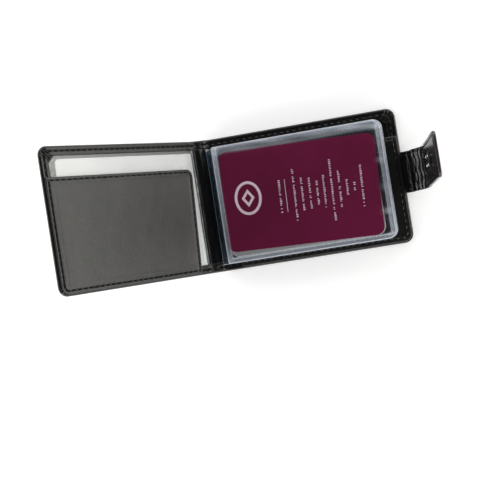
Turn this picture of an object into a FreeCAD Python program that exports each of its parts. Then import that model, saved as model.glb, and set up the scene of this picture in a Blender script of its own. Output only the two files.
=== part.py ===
# Business card case: a fold-over leather case with a clear pocket insert and a press-stud strap.
# The case is drawn as a flat pattern (back cover, spine and front cover side by side), then the spine and
# the front cover are folded up to the half-open rest position, and the strap is turned up the same way.
# Millimetres, +Z up. Origin: on the back cover's underside, on its centre line, 50 mm in from its free edge.
import FreeCAD, Part
import math, os

os.makedirs("parts", exist_ok=True)
V = FreeCAD.Vector

# ---------------------------------------------------------------- driving dimensions
PANEL_W = 101.5          # cover, fold line to free edge
PANEL_H = 73.5           # cover, top edge to bottom edge
SPINE_W = 11.4           # spine, fold line to fold line
FREE_X = 50.0            # free edge of the back cover
CORNER_R = 5.0           # free corners of the covers
LEATHER = 0.7            # cover leather
COVER_T = 2.3            # whole cover, over the turned-in edge
FOLD_Z = 1.9             # height of the fold axes above the outer face
FOLD_GAP_COVER = 0.6     # cover stops short of the fold axis
FOLD_GAP_SPINE = 0.9     # spine stops short of the fold axis
REST_FOLD = 27.0         # each fold at rest; front cover stands at twice this

BORDER = 5.0             # turned-in edge seen on the inside
STITCH_IN = 2.6          # stitch line from the edge
STITCH_PITCH = 3.5
STITCH_L = 2.5
STITCH_W = 0.45
STITCH_H = 0.35
GROOVE_W = 0.6
GROOVE_D = 0.4

POCKET_T = 0.7
POCKET_TOP = 21.3        # free upper edge of both pockets
POCKET_GAP = 7.0         # free side edge of the pockets, from the fold line
POCKET_R = 4.0

BOARD_FRONT = 0.6
BOARD_BACK = 1.1
PAPER_T = 0.28
FILM_T = 0.16

LEAVES = 5               # clear sleeves in the insert
LEAF_T = 1.15
LEAF_PITCH = 1.45
LEAF_Z0 = 3.3            # underside of the lowest sleeve
LEAF_X0, LEAF_X1 = -50.4, 41.2
LEAF_Y0, LEAF_Y1 = -33.2, 31.1
LEAF_FILM = 0.2
WELD_R, WELD_B = 2.6, 2.4   # welded margins at the free side and bottom
LEAF_AXIS_X = -50.45
LEAF_R = 4.5
CARD_L, CARD_W, CARD_T, CARD_R = 85.0, 55.0, 0.45, 4.6

STRAP_W = 22.5
STRAP_Y = 1.0            # centre line of the strap
STRAP_T = 1.5
WRAP_L = 17.0            # strap, first fold to second fold
TONGUE_L = 57.0
STRAP_X, STRAP_Z = 51.4, 1.25   # first strap fold
STRAP_GAP = 0.95
WRAP_REST = 54.0
TONGUE_REST = 32.0
SNAP_AT = 26.0           # snap centre from the second strap fold

FOLD_X = FREE_X - PANEL_W            # fold between back cover and spine
FOLD2_X = FOLD_X - SPINE_W           # fold between spine and front cover, in the flat pattern
FRONT_X = FOLD2_X - PANEL_W          # free edge of the front cover, in the flat pattern
ORIGIN = "on the back cover's underside, on its centre line, 50 mm in from its free edge"


# ---------------------------------------------------------------- helpers
def box(x0, y0, z0, x1, y1, z1):
    return Part.makeBox(x1 - x0, y1 - y0, z1 - z0, V(x0, y0, z0))


def plate(x0, y0, x1, y1, z0, z1, r=(0, 0, 0, 0)):
    """Plate with its own radius at each corner: (x0,y0), (x1,y0), (x1,y1), (x0,y1)."""
    c = [(x0, y0), (x1, y0), (x1, y1), (x0, y1)]
    d = [((0, 1), (1, 0)), ((-1, 0), (0, 1)), ((0, -1), (-1, 0)), ((1, 0), (0, -1))]
    edges, ends = [], []
    for (x, y), (a, b), q in zip(c, d, r):
        if q > 0:
            p0 = V(x + a[0] * q, y + a[1] * q, z0)
            p2 = V(x + b[0] * q, y + b[1] * q, z0)
            cx, cy = x + (a[0] + b[0]) * q, y + (a[1] + b[1]) * q
            mx, my = x - cx, y - cy
            n = math.hypot(mx, my)
            p1 = V(cx + mx / n * q, cy + my / n * q, z0)
            ends.append((p0, p1, p2))
        else:
            ends.append((V(x, y, z0), None, V(x, y, z0)))
    for i, (p0, p1, p2) in enumerate(ends):
        if p1 is not None:
            edges.append(Part.Arc(p0, p1, p2).toShape())
        nxt = ends[(i + 1) % 4][0]
        if p2.distanceToPoint(nxt) > 1e-6:
            edges.append(Part.LineSegment(p2, nxt).toShape())
    return Part.Face(Part.Wire(edges)).extrude(V(0, 0, z1 - z0))


def ring(x0, y0, x1, y1, z0, z1, r, inset, width):
    """A band that follows a plate's outline, inset from its edge."""
    a = [max(q - inset, 0) if q else 0 for q in r]
    b = [max(q - inset - width, 0.3) if q else 0 for q in r]
    outer = plate(x0 + inset, y0 + inset, x1 - inset, y1 - inset, z0, z1, a)
    inner = plate(x0 + inset + width, y0 + inset + width, x1 - inset - width, y1 - inset - width, z0 - 1, z1 + 1, b)
    return outer.cut(inner)


def stitch_run(p, q, z0, z1, pitch=STITCH_PITCH, length=STITCH_L, width=STITCH_W):
    """Separate stitches along the line p to q, between heights z0 and z1."""
    d = V(q[0] - p[0], q[1] - p[1], 0)
    n = max(1, int(d.Length / pitch))
    step = d.Length / n
    u = V(d.x / d.Length, d.y / d.Length, 0)
    out = []
    for i in range(n):
        m = V(p[0], p[1], 0) + u * (step * (i + 0.5))
        b = Part.makeBox(length, width, z1 - z0, V(-length / 2, -width / 2, z0))
        b.rotate(V(0, 0, 0), V(0, 0, 1), math.degrees(math.atan2(u.y, u.x)))
        b.translate(m)
        out.append(b)
    return out


def stitch_arc(cx, cy, r, a0, a1, z0, z1, pitch=STITCH_PITCH):
    """Short stitches round a corner, each short enough to stay inside the curved groove."""
    n = 2
    out = []
    for i in range(n):
        a = a0 + (a1 - a0) * (i + 0.5) / n
        L = 0.9
        b = Part.makeBox(L, STITCH_W, z1 - z0, V(-L / 2, -STITCH_W / 2, z0))
        b.rotate(V(0, 0, 0), V(0, 0, 1), a + 90)
        m = r - 0.015
        b.translate(V(cx + m * math.cos(math.radians(a)), cy + m * math.sin(math.radians(a)), 0))
        out.append(b)
    return out


def fold_spine(s):
    s.rotate(V(FOLD_X, 0, FOLD_Z), V(0, 1, 0), REST_FOLD)
    return s


def fold_front(s):
    s.rotate(V(FOLD2_X, 0, FOLD_Z), V(0, 1, 0), REST_FOLD)
    return fold_spine(s)


def fold_wrap(s):
    s.rotate(V(STRAP_X, 0, STRAP_Z), V(0, 1, 0), -WRAP_REST)
    return s


def fold_tongue(s):
    s.rotate(V(STRAP_X + WRAP_L, 0, STRAP_Z), V(0, 1, 0), -TONGUE_REST)
    return fold_wrap(s)


def keep(s):
    return s


made = {}


def part(name, shape, place=keep):
    solids = shape if isinstance(shape, list) else shape.Solids
    shape = solids[0] if len(solids) == 1 else Part.makeCompound(solids)
    shape = place(shape)
    made[name] = shape
    shape.exportStep(os.path.join("parts", name + ".step"))


# ---------------------------------------------------------------- a cover: turned-edge leather tray
H2 = PANEL_H / 2


def cover_outer(x_fold, x_free):
    """Outer leather: flat skin, edge wall, and the edge turned in over the board, open along the fold."""
    lo, hi = min(x_fold, x_free), max(x_fold, x_free)
    right = x_free > x_fold
    r = (0, CORNER_R, CORNER_R, 0) if right else (CORNER_R, 0, 0, CORNER_R)
    body = plate(lo, -H2, hi, H2, 0, COVER_T, r)
    # space for the board, closed on three sides
    ri = tuple(q - LEATHER if q else 0 for q in r)
    e = 3.0
    if right:
        hollow = plate(lo - e, -H2 + LEATHER, hi - LEATHER, H2 - LEATHER, LEATHER, 1.8, ri)
        window = plate(lo - e, -H2 + BORDER, hi - BORDER, H2 - BORDER, 1.5, COVER_T + 1, (0, 0.8, 0.8, 0))
    else:
        hollow = plate(lo + LEATHER, -H2 + LEATHER, hi + e, H2 - LEATHER, LEATHER, 1.8, ri)
        window = plate(lo + BORDER, -H2 + BORDER, hi + e, H2 - BORDER, 1.5, COVER_T + 1, (0.8, 0, 0, 0.8))
    body = body.cut(hollow).cut(window)
    # pressed stitch groove, inside and outside
    i = STITCH_IN - GROOVE_W / 2
    far = 20.0
    x0, x1 = (lo - far, hi) if right else (lo, hi + far)
    for z0, z1 in ((-1, GROOVE_D), (COVER_T - GROOVE_D, COVER_T + 1)):
        g = ring(x0, -H2, x1, H2, z0, z1, r, i, GROOVE_W)
        body = body.cut(g.common(box(lo + (0 if right else -1), -H2, z0, hi + (1 if right else 0), H2, z1)))
    return body


def cover_stitches(x_fold, x_free):
    right = x_free > x_fold
    s = 1 if right else -1
    out = []
    for z0, z1 in ((GROOVE_D - STITCH_H, GROOVE_D), (COVER_T - GROOVE_D, COVER_T - GROOVE_D + STITCH_H)):
        ye = H2 - STITCH_IN
        xa = x_fold + s * 1.2
        xb = x_free - s * CORNER_R
        xe = x_free - s * STITCH_IN
        for y in (-ye, ye):
            out += stitch_run((min(xa, xb), y), (max(xa, xb), y), z0, z1)
        out += stitch_run((xe, -H2 + CORNER_R), (xe, H2 - CORNER_R), z0, z1)
        rr = CORNER_R - STITCH_IN
        cx = x_free - s * CORNER_R
        if right:
            out += stitch_arc(cx, -H2 + CORNER_R, rr, -90, 0, z0, z1)
            out += stitch_arc(cx, H2 - CORNER_R, rr, 0, 90, z0, z1)
        else:
            out += stitch_arc(cx, -H2 + CORNER_R, rr, 180, 270, z0, z1)
            out += stitch_arc(cx, H2 - CORNER_R, rr, 90, 180, z0, z1)
    return out


# ---------------------------------------------------------------- back cover (lies on the table)
bx0 = FOLD_X + FOLD_GAP_COVER
strap_y0, strap_y1 = STRAP_Y - STRAP_W / 2, STRAP_Y + STRAP_W / 2
ANCHOR_L = 14.0
anchor_z0, anchor_z1 = LEATHER, LEATHER + 0.9

slot = box(FREE_X - LEATHER - 0.5, strap_y0 - 0.05, anchor_z0, FREE_X + 1, strap_y1 + 0.05, anchor_z1)
part("back_outer_leather", cover_outer(bx0, FREE_X).cut(slot))
board = plate(bx0, -H2 + LEATHER, FREE_X - LEATHER, H2 - LEATHER, LEATHER, 1.8,
              (0, CORNER_R - LEATHER, CORNER_R - LEATHER, 0))
notch = box(FREE_X - ANCHOR_L, strap_y0 - 0.05, LEATHER - 0.1, FREE_X, strap_y1 + 0.05, anchor_z1)
part("back_board", board.cut(notch))
part("back_lining", plate(bx0, -H2 + BORDER, FREE_X - BORDER, H2 - BORDER, 1.8, 2.1, (0, 0.8, 0.8, 0)))
part("back_edge_stitching", cover_stitches(bx0, FREE_X))

# pocket that the insert's tab is tucked into: sewn along the free side and the bottom
px0, px1 = FOLD_X + POCKET_GAP, FREE_X - 1.0
pz0, pz1 = COVER_T, COVER_T + POCKET_T
pocket = plate(px0, -H2 + 1.0, px1, POCKET_TOP, pz0, pz1, (0, CORNER_R - 1.0, 0, POCKET_R))
g = box(px0 - 1, POCKET_TOP - 2.0 - GROOVE_W / 2, pz1 - 0.3, px1 + 1, POCKET_TOP - 2.0 + GROOVE_W / 2, pz1 + 1)
pocket = pocket.cut(g)
sz0, sz1 = pz1 - 0.3, pz1
pocket_st = stitch_run((px0 + POCKET_R, POCKET_TOP - 2.0), (px1 - 1, POCKET_TOP - 2.0), sz0, sz1)
ggr = ring(px0 - 20, -H2 + 1.0, px1, H2 + 20, pz1 - 0.3, pz1 + 1, (0, CORNER_R - 1, 0, 0), 1.6 - GROOVE_W / 2, GROOVE_W)
pocket = pocket.cut(ggr.common(box(px0 - 1, -H2, pz1 - 0.3, px1 + 1, POCKET_TOP - 2.0, pz1 + 1)))
pocket_st += stitch_run((px0 + 1, -H2 + 2.6), (px1 - CORNER_R + 1, -H2 + 2.6), sz0, sz1)
pocket_st += stitch_run((px1 - 1.6, -H2 + CORNER_R), (px1 - 1.6, POCKET_TOP - 3.4), sz0, sz1)
part("back_pocket", pocket)
part("back_pocket_stitching", pocket_st)

# insert: tab in the pocket and the fused hinge strip of the sleeves
part("insert_tab", plate(-50.8, LEAF_Y0 + 1.6, 40.0, 19.5, 2.1, 2.3, (0, 3, 3, 0)))
part("insert_hinge_strip", box(-50.8, LEAF_Y0, 2.3, -47.2, LEAF_Y1, 2.95))

# strap tail, held between the leather and the board
part("strap_anchor", box(FREE_X - ANCHOR_L + 0.3, strap_y0, anchor_z0, FREE_X + 0.9, strap_y1, anchor_z1))

# ---------------------------------------------------------------- spine
sx0, sx1 = FOLD2_X + FOLD_GAP_SPINE, FOLD_X - FOLD_GAP_SPINE
sp = box(sx0, -H2, 0, sx1, H2, COVER_T)
sp = sp.cut(box(sx0 - 1, -H2 + LEATHER, LEATHER, sx1 + 1, H2 - LEATHER, 1.8))
sp = sp.cut(box(sx0 - 1, -H2 + BORDER, 1.5, sx1 + 1, H2 - BORDER, 4))
part("spine_outer_leather", sp, fold_spine)
part("spine_stiffener", box(sx0, -H2 + LEATHER, LEATHER, sx1, H2 - LEATHER, 1.8), fold_spine)
part("spine_lining", box(sx0, -H2 + BORDER, 1.8, sx1, H2 - BORDER, 2.25), fold_spine)

# ---------------------------------------------------------------- front cover
fx1 = FOLD2_X - FOLD_GAP_COVER
stud_x = FOLD2_X - (STRAP_X - SNAP_AT - FOLD_X)
hole = Part.makeCylinder(1.05, 3, V(stud_x, STRAP_Y, -1))
part("front_outer_leather", cover_outer(fx1, FRONT_X).cut(hole), fold_front)
fb = plate(FRONT_X + LEATHER, -H2 + LEATHER, fx1, H2 - LEATHER, LEATHER, LEATHER + BOARD_FRONT,
           (CORNER_R - LEATHER, 0, 0, CORNER_R - LEATHER))
fb = fb.cut(hole).cut(Part.makeCylinder(3.25, 1, V(stud_x, STRAP_Y, 1.0)))
part("front_board", fb, fold_front)
part("window_paper", plate(FRONT_X + 8.7, -H2 + 3.0, fx1 - 1.0, H2 - 6.6, 1.32, 1.32 + PAPER_T, (1, 1, 1, 1)), fold_front)
part("window_film", plate(FRONT_X + 1.6, -H2 + 1.6, fx1 - 0.2, H2 - 1.6, 1.62, 1.62 + FILM_T, (2, 0, 0, 2)), fold_front)
part("front_edge_stitching", cover_stitches(fx1, FRONT_X), fold_front)

qx0, qx1 = FRONT_X + 1.0, FOLD2_X - POCKET_GAP
fp = plate(qx0, -H2 + 1.0, qx1, POCKET_TOP, pz0, pz1, (CORNER_R - 1.0, 0, POCKET_R, 0))
fp = fp.cut(box(qx0 - 1, POCKET_TOP - 2.0 - GROOVE_W / 2, pz1 - 0.3, qx1 + 1, POCKET_TOP - 2.0 + GROOVE_W / 2, pz1 + 1))
fgr = ring(qx0, -H2 + 1.0, qx1, H2 + 20, pz1 - 0.3, pz1 + 1, (CORNER_R - 1, 0, 0, 0), 1.6 - GROOVE_W / 2, GROOVE_W)
fp = fp.cut(fgr.common(box(qx0 - 1, -H2, pz1 - 0.3, qx1 + 1, POCKET_TOP - 2.0, pz1 + 1)))
fs = stitch_run((qx0 + 1, POCKET_TOP - 2.0), (qx1 - POCKET_R, POCKET_TOP - 2.0), sz0, sz1)
fs += stitch_run((qx0 + CORNER_R - 1, -H2 + 2.6), (qx1 - 2.4, -H2 + 2.6), sz0, sz1)
fs += stitch_run((qx0 + 1.6, -H2 + CORNER_R), (qx0 + 1.6, POCKET_TOP - 3.4), sz0, sz1)
fs += stitch_run((qx1 - 1.6, -H2 + 4.0), (qx1 - 1.6, POCKET_TOP - 4.4), sz0, sz1)
part("front_pocket", fp, fold_front)
part("front_pocket_stitching", fs, fold_front)

# press stud on the outside of the front cover, riveted through leather and board
stud = Part.makeCylinder(4.5, 0.35, V(stud_x, STRAP_Y, -0.35))
stud = stud.fuse(Part.makeCylinder(1.6, 1.2, V(stud_x, STRAP_Y, -1.45)))
stud = stud.fuse(Part.makeCone(1.95, 1.5, 0.7, V(stud_x, STRAP_Y, -1.45), V(0, 0, -1)))
stud = stud.fuse(Part.makeCylinder(1.0, 1.1, V(stud_x, STRAP_Y, -0.1)))
part("snap_stud", stud.removeSplitter(), fold_front)
part("snap_stud_rivet", Part.makeCylinder(3.2, 0.3, V(stud_x, STRAP_Y, 1.0)), fold_front)

# ---------------------------------------------------------------- insert: clear sleeves, each with a card
for k in range(LEAVES):
    # sleeve_1 is the top one
    n = LEAVES - k
    z0 = LEAF_Z0 + k * LEAF_PITCH
    z1 = z0 + LEAF_T
    sl = plate(LEAF_X0, LEAF_Y0, LEAF_X1, LEAF_Y1, z0, z1, (0, LEAF_R, LEAF_R, 0))
    cav = box(LEAF_X0 + 0.4, LEAF_Y0 + WELD_B, z0 + LEAF_FILM, LEAF_X1 - WELD_R, LEAF_Y1 + 5, z1 - LEAF_FILM)
    part(f"sleeve_{n}", sl.cut(cav))
    zc = (z0 + z1) / 2
    card = plate(-CARD_L / 2, -CARD_W / 2, CARD_L / 2, CARD_W / 2, zc - CARD_T / 2, zc + CARD_T / 2, (CARD_R,) * 4)
    if n == 1:
        card.rotate(V(0, 0, 0), V(0, 0, 1), -2.1)
        card.translate(V(-6.2, -1.3, 0))
    else:
        card.translate(V(-6.4 + 0.35 * (k % 3), -2.6, 0))
    part(f"card_{n}", card)

# ---------------------------------------------------------------- strap
wx0, wx1 = STRAP_X + STRAP_GAP, STRAP_X + WRAP_L - STRAP_GAP
zo, zm, zi = STRAP_Z - STRAP_T / 2, STRAP_Z, STRAP_Z + STRAP_T / 2
part("strap_wrap_leather", box(wx0, strap_y0, zo, wx1, strap_y1, zm), fold_wrap)
part("strap_wrap_lining", box(wx0, strap_y0, zm, wx1, strap_y1, zi), fold_wrap)

tx0, tx1 = STRAP_X + WRAP_L + STRAP_GAP, STRAP_X + WRAP_L + TONGUE_L
tr = (0, 4.0, 4.0, 0)
snap_x = STRAP_X + WRAP_L + SNAP_AT
t_out = plate(tx0, strap_y0, tx1, strap_y1, zo, zm, tr)
t_out = t_out.cut(Part.makeCylinder(3.85, 1, V(snap_x, STRAP_Y, zm - 0.3)))
t_in = plate(tx0, strap_y0, tx1, strap_y1, zm, zi, tr)
t_in = t_in.cut(Part.makeCylinder(2.65, 2, V(snap_x, STRAP_Y, zm - 0.5)))
far = 20.0
gz = ((zo - 1, zo + 0.35), (zi - 0.35, zi + 1))
for gi, (z0, z1) in enumerate(gz):
    g = ring(tx0 - far, strap_y0, tx1, strap_y1, z0, z1, tr, 2.0 - GROOVE_W / 2, GROOVE_W)
    g = g.common(box(tx0 - 1, strap_y0, z0, tx1, strap_y1, z1))
    if gi == 0:
        t_out = t_out.cut(g)
    else:
        t_in = t_in.cut(g)
part("strap_tongue_leather", t_out, fold_tongue)
part("strap_tongue_lining", t_in, fold_tongue)
ts = []
for z0, z1 in ((zo + 0.05, zo + 0.35), (zi - 0.35, zi - 0.05)):
    for y in (strap_y0 + 2.0, strap_y1 - 2.0):
        ts += stitch_run((tx0 + 0.4, y), (tx1 - 4.0, y), z0, z1, 3.0, 2.2)
    ts += stitch_run((tx1 - 2.0, strap_y0 + 4.0), (tx1 - 2.0, strap_y1 - 4.0), z0, z1, 3.0, 2.2)
part("strap_tongue_stitching", ts, fold_tongue)

socket = Part.makeCylinder(4.8, 1.5, V(snap_x, STRAP_Y, zi))
socket = socket.fuse(Part.makeCylinder(2.6, STRAP_T / 2, V(snap_x, STRAP_Y, zm)))
socket = socket.cut(Part.makeCylinder(2.2, 5, V(snap_x, STRAP_Y, zm - 1)))
part("snap_socket", socket.removeSplitter(), fold_tongue)
part("snap_prong_ring", Part.makeCylinder(3.8, 0.3, V(snap_x, STRAP_Y, zm - 0.3)), fold_tongue)

for name, s in sorted(made.items()):
    b = s.BoundBox
    print(f"{name:26s} solids {len(s.Solids):3d} vol {s.Volume:9.1f} valid {s.isValid()} x {b.XMin:.2f}..{b.XMax:.2f} y {b.YMin:.2f}..{b.YMax:.2f} z {b.ZMin:.2f}..{b.ZMax:.2f}")
print(len(made), "nodes")
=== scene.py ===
import bpy, math
import numpy as np
from mathutils import Matrix, Vector


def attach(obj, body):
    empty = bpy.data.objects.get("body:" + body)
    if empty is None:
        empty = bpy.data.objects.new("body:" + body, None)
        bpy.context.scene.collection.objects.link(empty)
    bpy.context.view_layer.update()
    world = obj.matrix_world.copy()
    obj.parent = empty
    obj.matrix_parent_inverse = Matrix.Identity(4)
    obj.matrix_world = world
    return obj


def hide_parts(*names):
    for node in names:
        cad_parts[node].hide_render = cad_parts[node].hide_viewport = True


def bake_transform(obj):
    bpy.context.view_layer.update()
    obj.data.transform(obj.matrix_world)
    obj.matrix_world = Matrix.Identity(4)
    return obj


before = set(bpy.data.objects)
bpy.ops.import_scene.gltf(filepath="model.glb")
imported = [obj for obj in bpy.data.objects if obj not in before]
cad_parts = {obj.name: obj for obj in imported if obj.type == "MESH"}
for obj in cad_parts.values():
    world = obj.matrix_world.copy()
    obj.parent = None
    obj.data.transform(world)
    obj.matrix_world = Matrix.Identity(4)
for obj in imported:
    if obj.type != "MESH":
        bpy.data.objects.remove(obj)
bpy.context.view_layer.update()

MM = 0.001
rad = math.radians

# ------------------------------------------------------------------ the pattern, as in the CAD
PANEL_W, PANEL_H, SPINE_W = 101.5, 73.5, 11.4
FREE_X, CORNER_R, COVER_T, FOLD_Z = 50.0, 5.0, 2.3, 1.9
FOLD_X = FREE_X - PANEL_W
FOLD2_X = FOLD_X - SPINE_W
FRONT_X = FOLD2_X - PANEL_W
MID_X = (FOLD_X + FOLD2_X) / 2
H2 = PANEL_H / 2
REST = rad(27.0)
STITCH_IN, PITCH, ST_L = 2.6, 3.5, 2.5
STRAP_X, STRAP_Z, WRAP_L, TONGUE_L, STRAP_W, STRAP_Y, SNAP_AT = 51.4, 1.25, 17.0, 57.0, 22.5, 1.0, 26.0
STRAP2_X = STRAP_X + WRAP_L


def smooth(t):
    t = np.clip(t, 0.0, 1.0)
    return t * t * (3 - 2 * t)


def wob(X, Y, scale, seed, n=6):
    """Smooth seeded unevenness, about -1 to 1."""
    r = np.random.default_rng(seed)
    out = np.zeros(np.broadcast(X, Y).shape)
    for _ in range(n):
        a, k, p = r.uniform(0, 2 * np.pi), 2 * np.pi / (scale * r.uniform(0.7, 1.6)), r.uniform(0, 2 * np.pi)
        out = out + np.sin(k * (X * np.cos(a) + Y * np.sin(a)) + p)
    return out / math.sqrt(n) / 1.4


def roty(P, ax, az, ang):
    c, s = np.cos(ang), np.sin(ang)
    x, z = P[:, 0] - ax, P[:, 2] - az
    Q = P.copy()
    Q[:, 0] = ax + x * c + z * s
    Q[:, 2] = az - x * s + z * c
    return Q


WRAP_REST, TONGUE_REST = rad(54.0), rad(32.0)
SA0, SA1 = -1.6, 7.6    # the strap's two bends, from their fold lines
SB0, SB1 = -8.0, 8.0
A0, A1 = -1.5, 5.5      # the first fold's bend, from the fold line toward the spine
B0, B1 = -4.2, 4.2


def bend_cover(P):
    x = P[:, 0]
    wb = smooth((FOLD2_X - B0 - x) / (B1 - B0))
    wa = smooth((FOLD_X - A0 - x) / (A1 - A0))
    return roty(roty(P, FOLD2_X, FOLD_Z, REST * wb), FOLD_X, FOLD_Z, REST * wa)


def lean(x):
    return 1.8 * smooth((x - 56) / 60)


def bend_strap(P):
    x = P[:, 0]
    w1 = smooth((x - (STRAP_X + SA0)) / (SA1 - SA0))
    w2 = smooth((x - (STRAP2_X + SB0)) / (SB1 - SB0))
    Q = roty(roty(P, STRAP2_X, STRAP_Z, -TONGUE_REST * w2), STRAP_X, STRAP_Z, -WRAP_REST * w1)
    Q[:, 1] += lean(x)
    return Q


def same(P):
    return P


def at(x, y, z, bend):
    q = bend(np.array([[x, y, z]], float))[0] * MM
    return (float(q[0]), float(q[1]), float(q[2]))


def line(ax, az, ang, u0, u1):
    d = np.array([math.cos(ang), 0, math.sin(ang)])
    p = np.array([ax, 0, az])
    return tuple(float(v) for v in (p + d * u0) * MM), tuple(float(v) for v in (p + d * u1) * MM)


c135 = math.cos(rad(13.5))
A_LINE = line(FOLD_X, FOLD_Z, rad(180 - 13.5), A0 * c135, A1 * c135)
pB = roty(np.array([[FOLD2_X, 0, FOLD_Z]]), FOLD_X, FOLD_Z, REST)[0]
B_LINE = line(pB[0], pB[2], rad(180 - 40.5), B0 * c135, B1 * c135)
pS = roty(np.array([[STRAP2_X, 0, STRAP_Z]]), STRAP_X, STRAP_Z, -WRAP_REST)[0]
S2_LINE = line(pS[0], pS[2], WRAP_REST + TONGUE_REST / 2, SB0 * math.cos(TONGUE_REST / 2), SB1 * math.cos(TONGUE_REST / 2))

pieces = {}


def blend_a(o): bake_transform(o)
def blend_b(o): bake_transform(o)
def blend_s1(o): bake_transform(o)
def blend_s2(o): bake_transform(o)


# ------------------------------------------------------------------ mesh building
def make(name, P, faces, mat, bend=same, flat=None, tone=None, sharp=False):
    """P in flat-pattern mm. faces: list of index arrays, each (n, k)."""
    P = np.asarray(P, float)
    Q = bend(P) * MM
    me = bpy.data.meshes.new(name)
    idx, starts, totals, n = [], [], [], 0
    for f in faces:
        f = np.asarray(f, np.int32)
        if f.size == 0:
            continue
        idx.append(f.ravel())
        starts.append(n + np.arange(len(f)) * f.shape[1])
        totals.append(np.full(len(f), f.shape[1]))
        n += f.size
    idx, starts = np.concatenate(idx), np.concatenate(starts)
    me.vertices.add(len(Q)); me.vertices.foreach_set("co", Q.astype(np.float32).ravel())
    me.loops.add(len(idx)); me.loops.foreach_set("vertex_index", idx)
    me.polygons.add(len(starts)); me.polygons.foreach_set("loop_start", starts.astype(np.int32))
    me.polygons.foreach_set("use_smooth", np.full(len(starts), not sharp))
    a = me.attributes.new("flat", "FLOAT_VECTOR", "POINT")
    a.data.foreach_set("vector", (P if flat is None else np.asarray(flat, float)).astype(np.float32).ravel())
    a = me.attributes.new("tone", "FLOAT", "POINT")
    a.data.foreach_set("value", (np.zeros(len(P)) if tone is None else np.asarray(tone, float)).astype(np.float32).ravel())
    me.update(calc_edges=True)
    me.validate()
    o = bpy.data.objects.new(name, me)
    bpy.context.scene.collection.objects.link(o)
    if mat is not None:
        me.materials.append(mat)
    pieces[name] = o
    return o


def quads(nu, nv, off=0, flip=False):
    i, j = np.meshgrid(np.arange(nu - 1), np.arange(nv - 1), indexing="ij")
    a = (i * nv + j).ravel() + off
    q = np.stack([a, a + nv, a + nv + 1, a + 1], 1)
    return q[:, ::-1] if flip else q


def coords(lo, hi, step, ins_lo=(0.0,), ins_hi=(0.0,), must=()):
    """Grid lines from lo to hi, with given insets close to either end."""
    a = [lo + v for v in ins_lo]
    b = [hi - v for v in ins_hi][::-1]
    stops = [a[-1]] + sorted(m for m in must if a[-1] + 0.2 < m < b[0] - 0.2) + [b[0]]
    mid = []
    for p, q in zip(stops[:-1], stops[1:]):
        n = max(1, int(math.ceil((q - p) / step)))
        mid += list(p + (q - p) * np.arange(1, n + 1) / n)
    return np.array(a + mid[:-1] + b)


class Outline:
    """A rounded rectangle. r: radii at (x0,y0), (x1,y0), (x1,y1), (x0,y1)."""

    def __init__(self, x0, y0, x1, y1, r):
        self.x0, self.y0, self.x1, self.y1, self.r = x0, y0, x1, y1, r

    def place(self, X, Y, open_lo=False, open_hi=False):
        """Grid points moved inside the rounded outline, and each point's inset."""
        X, Y = X.copy(), Y.copy()
        s = np.minimum(Y - self.y0, self.y1 - Y)
        if not open_lo:
            s = np.minimum(s, X - self.x0)
        if not open_hi:
            s = np.minimum(s, self.x1 - X)
        for (cx, cy, sx, sy), r in zip(((self.x0, self.y0, -1, -1), (self.x1, self.y0, 1, -1),
                                        (self.x1, self.y1, 1, 1), (self.x0, self.y1, -1, 1)), self.r):
            if r <= 0:
                continue
            px, py = cx - sx * r, cy - sy * r
            a, b = (X - px) * sx / r, (Y - py) * sy / r
            m = (a > 0) & (b > 0)
            k = np.where(m, np.maximum(a, b) / np.maximum(np.hypot(a, b), 1e-9), 1)
            X = np.where(m, px + sx * a * k * r, X)
            Y = np.where(m, py + sy * b * k * r, Y)
        return X, Y, s

    def path(self, s0, step=0.05):
        """Points and directions all the way round at inset s0, from the top side's left end, clockwise."""
        rs = [max(v, s0) for v in self.r]
        pts = []

        def arc(cx, cy, r, a0, a1):
            n = max(2, int(abs(a1 - a0) * max(r, 0.01) / step))
            for a in np.linspace(a0, a1, n):
                pts.append((cx + r * math.cos(a), cy + r * math.sin(a)))

        def run(p, q):
            n = max(2, int(math.dist(p, q) / step))
            for t in np.linspace(0, 1, n):
                pts.append((p[0] + (q[0] - p[0]) * t, p[1] + (q[1] - p[1]) * t))

        x0, y0, x1, y1 = self.x0, self.y0, self.x1, self.y1
        run((x0 + rs[3], y1 - s0), (x1 - rs[2], y1 - s0))
        arc(x1 - rs[2], y1 - rs[2], rs[2] - s0, math.pi / 2, 0)
        run((x1 - s0, y1 - rs[2]), (x1 - s0, y0 + rs[1]))
        arc(x1 - rs[1], y0 + rs[1], rs[1] - s0, 0, -math.pi / 2)
        run((x1 - rs[1], y0 + s0), (x0 + rs[0], y0 + s0))
        arc(x0 + rs[0], y0 + rs[0], rs[0] - s0, -math.pi / 2, -math.pi)
        run((x0 + s0, y0 + rs[0]), (x0 + s0, y1 - rs[3]))
        arc(x0 + rs[3], y1 - rs[3], rs[3] - s0, math.pi, math.pi / 2)
        p = np.array(pts)
        keep = np.concatenate([[True], np.linalg.norm(np.diff(p, axis=0), axis=1) > 1e-6])
        p = p[keep]
        t = np.concatenate([[0], np.cumsum(np.linalg.norm(np.diff(p, axis=0), axis=1))])
        return t, p


def nearest_t(t, p, X, Y, mask):
    """How far along the path each masked point is."""
    out = np.zeros(X.shape)
    q = np.stack([X[mask], Y[mask]], 1)
    if len(q) == 0:
        return out
    from mathutils.kdtree import KDTree
    k = KDTree(len(p))
    for i, v in enumerate(p):
        k.insert((v[0], v[1], 0), i)
    k.balance()
    out[mask] = [t[k.find((a, b, 0))[1]] for a, b in q]
    return out


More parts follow.
